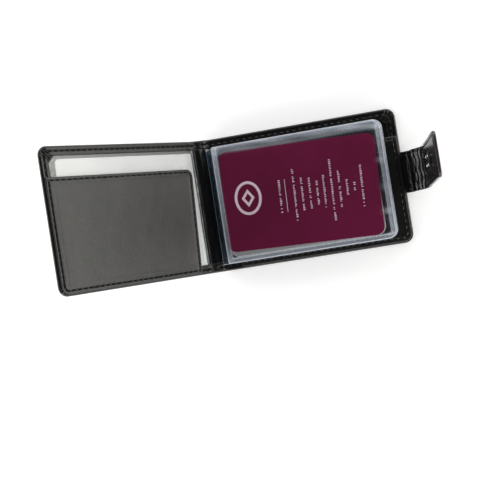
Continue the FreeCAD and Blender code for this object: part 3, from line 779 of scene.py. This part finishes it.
def pocket(name, x0, x1, r, open_side, node, st_node, body, seed, skew=0.0):
    y0, y1 = -H2 + 1.0, PT
    ol = Outline(x0, y0, x1, y1, r)
    t, p = ol.path(1.6)
    n = round(t[-1] / PITCH)
    step = t[-1] / n

    def shift(X, Y):
        # the free side leans a little, so the gap beside the fold is wider at the bottom
        k = (X - x0) / (x1 - x0) if open_side > 0 else (x1 - X) / (x1 - x0)
        return X + open_side * skew * smooth(k) * (Y - y0) / (y1 - y0)

    def base(X, Y, S):
        fromtop = y1 - Y
        side = (X - x0) if open_side < 0 else (x1 - X)
        free = np.exp(-(fromtop / 5.0) ** 2) * 0.18 + np.exp(-(side / 5.0) ** 2) * 0.12
        edge = np.minimum(S, 1.0)
        return 2.32 + free * smooth(edge)

    def top(X, Y, S):
        m = np.abs(S - 1.6) < 2.2
        tt = nearest_t(t, p, X, Y, m)
        d = np.abs((tt / step + 0.5) % 1 - 0.5) * step
        h = np.where(m, np.exp(-(d / 0.55) ** 2), 0)
        z = base(X, Y, S)
        z = z + 0.34 + 0.36 * np.sqrt(np.clip(1 - (1 - np.clip(S / 0.55, 0, 1)) ** 2, 0, 1))
        band = np.exp(-((S - 1.6) / 0.38) ** 2)
        z = z - band * (0.30 + 0.20 * h) + 0.12 * (1 - h) * np.exp(-((S - 2.4) / 0.45) ** 2) * m
        z = z - 0.10 * smooth((S - 2.2) / 2.0)
        vis = smooth(S / 1.2)
        z = z + vis * (0.05 * wob(X, Y, 24, seed) + 0.02 * wob(X, Y, 7, seed + 1)) * 1.0
        # faint ridge of the cards' edges and of the cover's turned edge underneath
        z = z + 0.09 * (np.exp(-((Y + H2 - 5.1) / 0.7) ** 2) + np.exp(-((np.where(open_side > 0, X - x0, x1 - X) - 4.1) / 0.7) ** 2)) * smooth((S - 2.6) / 1.0)
        return z

    def bot(X, Y, S):
        return base(X, Y, S) + 0.34 - 0.3 * np.sqrt(np.clip(1 - (1 - np.clip(S / 0.4, 0, 1)) ** 2, 0, 1))

    xs = coords(x0, x1, 0.62, P_INS, P_INS)
    ys = coords(y0, y1, 0.62, P_INS, P_INS)

    def bend(P):
        Q = P.copy()
        Q[:, 0] = shift(P[:, 0], P[:, 1])
        return bend_cover(Q)

    o = slab(name, xs, ys, ol, top, bot, M_pocket, bend, tone=lambda X, Y, S: 0.5 * np.exp(-(S / 0.3) ** 2))
    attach(o, body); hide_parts(node)
    runs, _ = stitches_on(ol, 1.6, PITCH)
    runs = [(x, y, a, 2.32 + 0.52) for x, y, a, _ in runs]
    th = thread(name + "_thread", runs, None, M_thread, bend, r=0.50, length=2.95)
    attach(th, body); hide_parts(st_node)
    return o


pocket("front_pocket_leather", FRONT_X + 1.0, FOLD2_X - 7.6, (4.0, 0.6, 4.0, 0.5), 1, "front_pocket", "front_pocket_stitching", "front_cover", 61, skew=4.0)
pocket("back_pocket_leather", FOLD_X + 7.0, FREE_X - 1.0, (0.6, 4.0, 0.5, 4.0), -1, "back_pocket", "back_pocket_stitching", "back_cover", 71)

# ------------------------------------------------------------------ the insert: hinge strip and clear sleeves
LEAF_Y0, LEAF_Y1 = -33.2, 31.1
HX0, HX1 = -55.3, -47.4


def hinge_top(X, Y, S):
    e = smooth(S / 0.2)
    r = smooth((X + 53.2) / 3.2)
    return 2.28 + 0.25 * e + r * 0.35 + 0.05 * wob(X, Y, 14, 81) * e + 0.08 * np.exp(-((X + 52.6) / 0.35) ** 2)


def hinge_bot(X, Y, S):
    return np.where(S <= 0, hinge_top(X, Y, S), 2.2 + 0 * X + 0.3 * smooth((X + 53.2) / 3.2))


# the hinge band's tone is a painted highlight: whiter haze along its edges and along its crease at x = -52.6
o = slab("insert_hinge_band", coords(HX0, HX1, 0.35, IN_EDGE, IN_EDGE), coords(LEAF_Y0, LEAF_Y1, 0.9, IN_EDGE, IN_EDGE), rect(HX0, LEAF_Y0, HX1, LEAF_Y1, (0.5, 0, 0, 0.5)),
         hinge_top, hinge_bot, M_hinge, bend_cover, tone=lambda X, Y, S: 0.9 * np.exp(-(S / 0.22) ** 2) + 0.35 * np.exp(-((X + 52.6) / 0.3) ** 2))
blend_a(o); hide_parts("insert_hinge_strip")

L_INS = [0, 0.05, 0.14, 0.28, 0.5, 0.8, 1.2, 1.6, 2.0, 2.3, 2.55, 2.8, 3.2, 3.7, 4.3, 5.0]
dx1 = {1: 41.0, 2: 41.75, 3: 41.35, 4: 42.25, 5: 41.9}
dy = {1: 0.0, 2: 0.35, 3: -0.2, 4: 0.55, 5: 0.2}
dx0 = {1: -51.0, 2: -50.8, 3: -50.9, 4: -50.7, 5: -50.8}


def leaf(n):
    k = 5 - n
    z0 = 3.3 + 1.45 * k
    x0, x1, y0, y1 = dx0[n], dx1[n], LEAF_Y0 + 0.2 + dy[n] * 0.6, LEAF_Y1 + dy[n]
    ol = Outline(x0, y0, x1, y1, (0.4, 4.5, 4.5, 0.4))
    sd = 100 + n * 10

    def puff(X, Y, S):
        """0 at the fused edges, 1 over the card; the top edge is open."""
        return smooth((X - x0 - 0.5) / 1.2) * smooth((x1 - X - 2.2) / 2.0) * smooth((Y - y0 - 1.4) / 1.4)

    def waves(X, Y, S):
        edge = np.exp(-((y1 - Y) / 3.0) ** 2)
        e2 = np.exp(-((x1 - X) / 5.0) ** 2)
        return 0.10 * wob(X, Y * 1.4, 26, sd) + edge * 0.17 * wob(X, Y, 13, sd + 1) + e2 * 0.10 * wob(X, Y, 11, sd + 2)

    def soft(w):
        return 0.5 * (w + np.sqrt(w * w + 0.0016)) if n > 1 else w

    def top(X, Y, S):
        p = puff(X, Y, S)
        w = waves(X, Y, S)
        z = z0 + 0.42 + 0.50 * p + 0.35 * w * (1 - p) + 0.75 * soft(w) * p
        groove = 0.10 - (0.08 if n == 1 else 0.0) * (1 - smooth((X - x0 - 3) / 2))  # shallow where the top card lies under it
        z = z + 0.10 * np.exp(-(S / 0.35) ** 2) - groove * np.exp(-((np.minimum(np.minimum(X - x0, x1 - X), Y - y0) - 2.3) / 0.22) ** 2)
        return z

    def bot(X, Y, S):
        p = puff(X, Y, S)
        mouth = smooth((Y - y0 - 2) / 2)
        w = waves(X, Y, S)
        zb = (top(X, Y, S) - 0.14) * (1 - p) + (z0 + 0.27 - 0.5 * (np.sqrt(w * w + 0.0016) - w) * 0.75) * p
        zb = np.maximum(zb, z0 + 0.02)
        onmouth = (S > (y1 - Y) - 1e-9) & (X - x0 > 1.1) & (x1 - X > 2.4)
        return np.where((S <= 0) & ~onmouth, top(X, Y, S), zb)

    def tone(X, Y, S):
        weld = np.minimum(np.minimum(X - x0, x1 - X), Y - y0)
        # painted highlight: the tone whitens the film's haze along its cut edges (0.95 term) and in streaks near the
        # top and outer edges (0.22 term)
        t = 0.95 * np.exp(-(S / 0.24) ** 2) + 0.30 * np.exp(-((weld - 2.35) / 0.22) ** 2)
        t = t + 0.10 * np.exp(-(weld / 2.2) ** 4)
        t = t + 0.22 * np.clip(wob(X * 0.55, Y * 1.9, 15, sd + 3) - 0.35, 0, 1) * (np.exp(-((y1 - Y - 1.5) / 2.6) ** 2) + np.exp(-((x1 - X - 2.0) / 3.0) ** 2))
        # the empty margins above the card and beside the hinge are painted pale, in streaks: a painted highlight for
        # the film's sheen there
        sheen_streak = np.clip(0.5 + 0.5 * wob(X * 0.22, Y * 1.6, 5.0, sd + 4), 0, 1)
        t = t + (0.03 + 0.13 * sheen_streak) * smooth((Y - y1 + 5.2) / 1.2)
        t = t + (0.10 + 0.16 * sheen_streak) * (1 - smooth((X - x0 - 1.2) / 2.2)) * (0.35 + 0.65 * smooth((Y + 25) / 45))
        return np.clip(t, 0, 1)

    # An open-mouthed envelope: two films, joined at three sides
    X, Y = np.meshgrid(coords(x0, x1, 1.1, L_INS, L_INS), coords(y0, y1, 1.1, L_INS, L_INS), indexing="ij")
    X, Y, S = ol.place(X, Y)
    nu, nv = X.shape
    zt, zb = top(X, Y, S), bot(X, Y, S)
    P1 = np.stack([X, Y, zt], -1).reshape(-1, 3)
    same_z = (np.abs(zt - zb) < 1e-9).ravel()
    rim = np.zeros((nu, nv), bool); rim[0] = rim[-1] = True; rim[:, 0] = rim[:, -1] = True
    shared = rim.ravel() & same_z
    ids = np.arange(nu * nv); bid = ids.copy(); own = ~shared
    bid[own] = nu * nv + np.arange(own.sum())
    P2 = np.stack([X, Y, zb], -1).reshape(-1, 3)[own]
    tn = tone(X, Y, S).ravel()
    o = make(f"sleeve_{n}_films", np.concatenate([P1, P2]), [quads(nu, nv), bid[quads(nu, nv, flip=True)]], M_vinyl, same, tone=np.concatenate([tn, 0.55 * tn[own]]))
    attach(o, f"leaf_{n}"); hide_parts(f"sleeve_{n}")


for n in range(1, 6):
    leaf(n)

# hinge webs, one per leaf: a thin film that runs from the leaf down to the one below
for n in range(1, 6):
    k = 5 - n
    zt = 3.3 + 1.45 * k + 0.45
    zb = zt - 1.45 if n < 5 else 2.95
    xt, xb = dx0[n] + 0.05, (dx0[n + 1] if n < 5 else -51.0) + 0.05
    u = np.linspace(0, 1, 9)
    cx = xb + (xt - xb) * u + 0.30 * np.sin(np.pi * u)
    cz = zb + (zt - zb) * u
    ysw = coords(LEAF_Y0 + 0.6, LEAF_Y1 - 0.2, 1.4)
    X = np.repeat(cx[:, None], len(ysw), 1) + 0.12 * wob(np.arange(9)[:, None] * 0.3, ysw[None, :], 15, 130 + n) * np.sin(np.pi * u)[:, None]
    Z = np.repeat(cz[:, None], len(ysw), 1)
    Y = np.repeat(ysw[None, :], 9, 0)
    Pa = np.stack([X, Y, Z], -1).reshape(-1, 3)
    Pb = Pa + np.array([0.10, 0, 0])
    m_ = 9 * len(ysw)
    nvw = len(ysw)
    ids = np.arange(m_).reshape(9, nvw)
    loop = np.concatenate([ids[:, 0], ids[-1, 1:], ids[-2::-1, -1], ids[0, -2:0:-1]])
    nx_ = np.roll(loop, -1)
    wall = np.stack([loop, nx_, nx_ + m_, loop + m_], 1)
    o = make(f"hinge_web_{n}", np.concatenate([Pa, Pb]), [quads(9, nvw, flip=True)[:, ::-1], quads(9, nvw, off=m_, flip=False)[:, ::-1], wall], M_hinge, same,
             tone=np.full(2 * m_, 0.12))
    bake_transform(o)

# ------------------------------------------------------------------ cards
CL, CW, CT, CR = 85.0, 55.0, 0.45, 4.6
C_INS = [0, 0.03, 0.08, 0.16, 0.5]


def card(n):
    k = 5 - n
    zc = 3.3 + 1.45 * k + 0.575
    if n == 1:
        cx, cy, rot = -6.2, -1.3, rad(-2.1)
    else:
        cx, cy, rot = -6.5 + 0.1 * (k % 3), -2.6, 0.0
    ol = Outline(-CL / 2, -CW / 2, CL / 2, CW / 2, (CR,) * 4)
    top = lambda X, Y, S: zc + CT / 2 * smooth(S / 0.1) + 0.02 * wob(X, Y, 60, 90 + n) * smooth(S / 4)
    bot = lambda X, Y, S: zc - CT / 2 * smooth(S / 0.1) + 0.02 * wob(X, Y, 60, 90 + n) * smooth(S / 4)

    def put(P):
        Q = P.copy()
        c, s = math.cos(rot), math.sin(rot)
        Q[:, 0], Q[:, 1] = cx + P[:, 0] * c - P[:, 1] * s, cy + P[:, 0] * s + P[:, 1] * c
        return Q

    o = slab(f"business_card_{n}", coords(-CL / 2, CL / 2, 2.0, C_INS + [1.5, 3, 4.6], C_INS + [1.5, 3, 4.6]), coords(-CW / 2, CW / 2, 2.0, C_INS + [1.5, 3, 4.6], C_INS + [1.5, 3, 4.6]), ol,
             top, bot, M_card1 if n == 1 else M_plain, put)
    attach(o, f"loose_card_{n}"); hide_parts(f"card_{n}")
    return put, zc + CT / 2


for n in range(2, 6):
    card(n)
put1, ztop1 = card(1)

PRINT = []


def flat_poly(outer, inner=None):
    """A thin printed shape: outer loop, and a matching inner loop for a ring."""
    PRINT.append((np.array(outer, float), None if inner is None else np.array(inner, float)))


def rr_loop(cx, cy, hw, hh, r, n=10):
    pts = []
    for sx, sy, a0 in ((1, 1, 0), (-1, 1, 90), (-1, -1, 180), (1, -1, 270)):
        for i in range(n + 1):
            a = rad(a0 + 90 * i / n)
            pts.append((cx + sx * (hw - r) + r * math.cos(a), cy + sy * (hh - r) + r * math.sin(a)))
    return pts


#PRINT_LAYOUT
MK = (-28.7, 0.9)
flat_poly([(MK[0] + 7.4 * math.cos(a), MK[1] + 9.2 * math.sin(a)) for a in np.linspace(0, 2 * math.pi, 72, endpoint=False)],
          [(MK[0] + 5.9 * math.cos(a), MK[1] + 7.7 * math.sin(a)) for a in np.linspace(0, 2 * math.pi, 72, endpoint=False)])
flat_poly([(MK[0] + 3.6, MK[1]), (MK[0], MK[1] + 4.9), (MK[0] - 3.6, MK[1]), (MK[0], MK[1] - 4.9)],
          [(MK[0] + 1.9, MK[1]), (MK[0], MK[1] + 2.6), (MK[0] - 1.9, MK[1]), (MK[0], MK[1] - 2.6)])
flat_poly([(-8.12, -9.2), (-7.85, -9.2), (-7.85, 8.6), (-8.12, 8.6)])
COLS = [(-11.1, -9.3, 8.7), (-3.2, -14.6, 13.7), (1.0, -9.4, 8.7), (5.2, -9.0, 8.4), (9.2, -7.3, 6.0), (13.0, -9.4, 8.7),
        (17.2, -16.8, 15.9), (21.3, -10.1, 9.8), (25.3, -5.0, 4.6), (29.3, -3.1, 2.8), (33.3, -11.3, 11.0)]
rngp = np.random.default_rng(5)


def bar_column(x, ya, yb, hw, cell=0.95, fill=0.5):
    y = ya
    while y < yb - 0.3:
        w = cell * fill * rngp.uniform(0.75, 1.25)
        if rngp.random() < 0.14:
            y += cell
            continue
        h = hw * rngp.choice([1.0, 1.0, 0.8, 0.62])
        flat_poly([(x - hw, y), (x - hw + 2 * h, y), (x - hw + 2 * h, y + w), (x - hw, y + w)])
        y += cell


for x, ya, yb in COLS:
    bar_column(x, ya, yb, 0.55)

P, F4, base = [], {}, 0
tris = {}
zt_, zb_ = ztop1 + 0.035, ztop1 - 0.06
for outer, inner in PRINT:
    n = len(outer)
    if inner is None:
        ring_t = np.column_stack([outer, np.full(n, zt_)]); ring_b = np.column_stack([outer, np.full(n, zb_)])
        P += [ring_t, ring_b]
        tris.setdefault(n, []).append(base + np.arange(n))
        tris.setdefault(n, []).append(base + n + np.arange(n)[::-1])
        i = np.arange(n); j = (i + 1) % n
        F4.setdefault(4, []).append(np.stack([base + i, base + n + i, base + n + j, base + j], 1))
        base += 2 * n
    else:
        for loopz in ((outer, zt_), (inner, zt_), (outer, zb_), (inner, zb_)):
            P.append(np.column_stack([loopz[0], np.full(n, loopz[1])]))
        i = np.arange(n); j = (i + 1) % n
        o_t, i_t, o_b, i_b = base, base + n, base + 2 * n, base + 3 * n
        F4.setdefault(4, []).append(np.stack([o_t + i, o_t + j, i_t + j, i_t + i], 1))
        F4.setdefault(4, []).append(np.stack([o_b + j, o_b + i, i_b + i, i_b + j], 1))
        F4.setdefault(4, []).append(np.stack([o_t + i, o_b + i, o_b + j, o_t + j], 1))
        F4.setdefault(4, []).append(np.stack([i_t + j, i_b + j, i_b + i, i_t + i], 1))
        base += 4 * n
faces = [np.concatenate(F4[4])] + [np.array(v) for v in tris.values()]
o = make("business_card_1_print", np.concatenate(P), faces, M_print, put1, sharp=True)
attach(o, "loose_card_1")

# ------------------------------------------------------------------ strap
SY0, SY1 = STRAP_Y - STRAP_W / 2, STRAP_Y + STRAP_W / 2
S_INS = [0, 0.03, 0.09, 0.18, 0.3, 0.5, 0.8, 1.15, 1.45, 1.65, 1.83, 2.0, 2.17, 2.35, 2.6, 3.0, 3.5, 4.0]
S_CUT = 60.0
S_END = STRAP2_X + TONGUE_L
strap_ol = Outline(30, SY0, S_END, SY1, (0, 4.0, 4.0, 0))
tS, pS_ = strap_ol.path(2.0)
nS = round(tS[-1] / 3.0)
stS = tS[-1] / nS


def strap_crinkle(X, Y):
    g = smooth((X - 51.5) / 2.5) * (1 - smooth((X - 71.0) / 4.0))
    lane = X + 1.1 * wob(X * 0.3, Y, 11, 201)
    r = 0.75 * np.sin(lane * 1.95) + 0.30 * np.sin(lane * 3.3 + 1.3 * wob(X, Y * 0.6, 9, 202)) + 0.35 * wob(X * 1.6, Y * 0.3, 4.2, 203)
    return g * r


def strap_half(X):
    """Half the thickness: thinner where the strap goes in between the leather and the board."""
    return 0.42 + 0.33 * smooth((X - 49.6) / 2.2)


def strap_parts(X, Y, S):
    m = np.abs(S - 2.0) < 1.6
    t = nearest_t(tS, pS_, X, Y, m)
    d = np.abs((t / stS + 0.5) % 1 - 0.5) * stS
    h = np.where(m, np.exp(-(d / 0.5) ** 2), 0)
    e = np.sqrt(np.clip(1 - (1 - np.clip(S / 0.42, 0, 1)) ** 2, 0, 1))
    band = np.exp(-((S - 2.0) / 0.34) ** 2)
    crown = 0.08 * smooth((S - 2.2) / 3.0)
    bow = 0.5 * smooth((X - 84) / 40) ** 2 - 0.3 * np.exp(-((X - 96) / 12) ** 2)
    return h, e, band, crown, bow


def strap_top(X, Y, S):
    h, e, band, crown, bow = strap_parts(X, Y, S)
    vis = smooth(S / 0.6)
    return STRAP_Z + bow * 0.8 + strap_half(X) * e + crown - band * (0.16 + 0.12 * h) * vis + vis * (0.26 * strap_crinkle(X, Y) + 0.03 * wob(X, Y, 9, 204))


def strap_bot(X, Y, S):
    h, e, band, crown, bow = strap_parts(X, Y, S)
    vis = smooth(S / 0.6)
    z = STRAP_Z + bow * 0.8 - strap_half(X) * e - crown + band * (0.16 + 0.12 * h) * vis + vis * (0.12 * strap_crinkle(X + 0.6, Y) + 0.03 * wob(X, Y, 9, 205))
    return z


def strap_tone(X, Y, S):
    return 0.9 * np.exp(-(S / 0.10) ** 2)


SX0 = 46.5
ys_s = coords(SY0, SY1, 0.5, S_INS, S_INS)
o = slab("strap_root", coords(SX0, S_CUT, 0.33), ys_s, Outline(30, SY0, 90, SY1, (0, 0, 0, 0)), strap_top, strap_bot, M_strap, bend_strap, cut=(True, True), tone=strap_tone)
blend_s1(o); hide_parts("strap_wrap_leather", "strap_wrap_lining", "strap_anchor")
o = slab("strap_tongue", coords(S_CUT, S_END, 0.42, (0.0,), S_INS), ys_s, Outline(30, SY0, S_END, SY1, (0, 4.0, 4.0, 0)), strap_top, strap_bot, M_strap, bend_strap, cut=(True, False), tone=strap_tone)
blend_s2(o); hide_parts("strap_wrap_leather", "strap_wrap_lining", "strap_tongue_leather", "strap_tongue_lining")

# stitches, set on the strap's own surface
sts, _ = stitches_on(strap_ol, 2.0, 3.0, sel=lambda x, y: x > 53.0)


def on_surface(runs, f, lift, lo_x, hi_x):
    out = []
    for x, y, a, _ in runs:
        if lo_x < x <= hi_x:
            z = float(f(np.array([[x]]), np.array([[y]]), np.array([[2.35]]))[0, 0])
            out.append((x, y, a, z + lift))
    return out


for nm, lo_x, hi_x, bl in (("strap_root", 53, S_CUT - 1, blend_s1), ("strap_tongue", S_CUT + 1, 200, blend_s2)):
    for side, f, lift, up in (("in", strap_top, -0.02, 1), ("out", strap_bot, 0.02, -1)):
        o = thread(f"{nm}_thread_{side}", on_surface(sts, f, lift, lo_x, hi_x), None, M_thread, bend_strap, r=0.24, length=2.15, up=up)
        bl(o)
        if nm == "strap_tongue":
            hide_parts("strap_tongue_stitching")


# ------------------------------------------------------------------ press stud
def lathe(name, prof, cx, cy, z0, up, bend, mat, body, nseg=56, lumps=None, nodes=()):
    P, n = [], len(prof)
    for i, (r, z) in enumerate(prof):
        for j in range(nseg):
            th = 2 * math.pi * j / nseg
            rr_, zz = r, z
            if lumps:
                rr_, zz = lumps(r, z, th)
            P.append((cx + rr_ * math.cos(th), cy + rr_ * math.sin(th), z0 + up * zz))
    F = []
    for i in range(n - 1):
        for j in range(nseg):
            j2 = (j + 1) % nseg
            q = (i * nseg + j, i * nseg + j2, (i + 1) * nseg + j2, (i + 1) * nseg + j)
            F.append(q if up < 0 else q[::-1])
    c0 = len(P); P.append((cx, cy, z0 + up * prof[0][1])); c1 = len(P); P.append((cx, cy, z0 + up * prof[-1][1]))
    T = []
    for j in range(nseg):
        j2 = (j + 1) % nseg
        a, b = (c0, j2, j), (c1, (n - 1) * nseg + j, (n - 1) * nseg + j2)
        T.append(a if up < 0 else a[::-1]); T.append(b if up < 0 else b[::-1])
    o = make(name, P, [np.array(F), np.array(T)], mat, bend)
    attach(o, body)
    if nodes:
        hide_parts(*nodes)
    return o


zi = STRAP_Z + 0.75
snap_x = STRAP2_X + SNAP_AT
socket = [(2.2, -0.6), (2.25, -0.2), (2.35, 0.5), (2.5, 0.85), (2.75, 1.05), (3.0, 1.08), (3.2, 0.95), (3.35, 0.7), (3.55, 0.5), (3.9, 0.46), (4.3, 0.5), (4.6, 0.44), (4.78, 0.26), (4.8, 0.08), (4.7, -0.1), (4.4, -0.15)]
lathe("snap_socket_ring", socket[::-1], snap_x, STRAP_Y, zi + 0.05, 1, bend_strap, M_black_metal, "strap_tongue", nodes=("snap_socket", "snap_prong_ring"))
lathe("snap_socket_floor", [(2.35, 0.1), (2.0, 0.12), (1.2, 0.05), (0.5, 0.0), (0.2, 0.0)][::1], snap_x, STRAP_Y, zi - 0.35, 1, bend_strap, M_black_metal, "strap_tongue")
for i in range(4):
    a = math.pi / 4 + i * math.pi / 2
    lathe(f"snap_prong_{i + 1}", [(0.60, -0.2), (0.62, 0.04), (0.57, 0.15), (0.46, 0.25), (0.30, 0.31), (0.10, 0.34)], snap_x + 3.05 * math.cos(a), STRAP_Y + 3.05 * math.sin(a), zi + (0.92 if math.cos(a) > 0 else 1.25), 1, bend_strap, M_metal, "strap_tongue", nseg=20)
stud_x = FOLD2_X - (STRAP_X - SNAP_AT - FOLD_X)
stud = [(4.4, 0.0), (4.5, 0.08), (4.5, 0.18), (4.38, 0.3), (4.05, 0.36), (3.6, 0.34), (3.0, 0.3), (2.4, 0.3), (1.95, 0.36), (1.7, 0.5), (1.6, 0.75), (1.58, 1.2), (1.7, 1.42), (1.88, 1.58), (1.95, 1.76), (1.88, 1.94), (1.66, 2.08), (1.3, 2.15), (0.8, 2.17), (0.3, 2.15)]
lathe("snap_stud_post", stud, stud_x, STRAP_Y + float(lean(snap_x)), 0.02, -1, bend_cover, M_metal, "front_cover", nodes=("snap_stud", "snap_stud_rivet"))
# ------------------------------------------------------------------ floor, lights, camera
def stage_mat():
    m, nt, out = nodes_of("floor")
    b = N(nt, "ShaderNodeBsdfPrincipled", Roughness=0.75)
    b.inputs["Base Color"].default_value = (0.93, 0.93, 0.93, 1)
    b.inputs["Specular IOR Level"].default_value = 0.1
    b.inputs["Emission Color"].default_value = (1, 1, 1, 1)
    b.inputs["Emission Strength"].default_value = 0.30
    L(nt, b.outputs[0], out.inputs[0])
    return m


fm = bpy.data.meshes.new("floor")
S_ = 6.0
fm.from_pydata([(-S_, -S_, -0.00005), (S_, -S_, -0.00005), (S_, S_, -0.00005), (-S_, S_, -0.00005)], [], [(0, 1, 2, 3)])
fm.materials.append(stage_mat())
fo = bpy.data.objects.new("floor", fm)
bpy.context.scene.collection.objects.link(fo)

w = bpy.data.worlds.new("studio")
bpy.context.scene.world = w
w.use_nodes = True
w.node_tree.nodes["Background"].inputs[0].default_value = (0.9, 0.94, 1.0, 1)
w.node_tree.nodes["Background"].inputs[1].default_value = 0.05


def area(name, loc, target, sx, sy, radiance, color=(1, 1, 1)):
    l = bpy.data.lights.new(name, "AREA")
    l.shape = "RECTANGLE"
    l.size, l.size_y = sx, sy
    l.energy = radiance * math.pi * sx * sy
    l.color = color
    o = bpy.data.objects.new(name, l)
    d = Vector(target) - Vector(loc)
    o.rotation_euler = d.to_track_quat("-Z", "Y").to_euler()
    o.location = loc
    bpy.context.scene.collection.objects.link(o)
    return o


area("side_right", (1.15, 0.05, 0.32), (0, 0, 0.02), 1.7, 0.62, 4.6, (1.0, 0.985, 0.93))
area("side_left", (-1.25, 0.1, 0.40), (0, 0, 0.02), 1.7, 0.75, 5.0)
area("side_back", (0.0, 1.25, 0.42), (0, 0, 0.02), 2.1, 0.74, 3.5, (0.97, 0.985, 1.0))
area("side_front", (0.0, -1.25, 0.40), (0, 0, 0.02), 2.1, 0.70, 4.1)

cam = bpy.data.cameras.new("camera")
cam.sensor_width = 36.0
cam.lens = 1019.19 * 36.0 / 500.0
cam.clip_start, cam.clip_end = 0.01, 20
cam.dof.use_dof = False
co_ = bpy.data.objects.new("camera", cam)
R = ((0.9787644869, -0.1560776384, -0.1328903679), (0.1565164934, 0.9876490826, -0.0072025618), (0.1323732088, -0.0137499227, 0.9911045723))
M = Matrix([[R[0][0], R[1][0], R[2][0], 0.035036], [R[0][1], R[1][1], R[2][1], -0.034965], [R[0][2], R[1][2], R[2][2], 0.559002], [0, 0, 0, 1]])
co_.matrix_world = M
bpy.context.scene.collection.objects.link(co_)
bpy.context.scene.camera = co_
bpy.context.scene.view_settings.view_transform = "Standard"
bpy.context.view_layer.update()
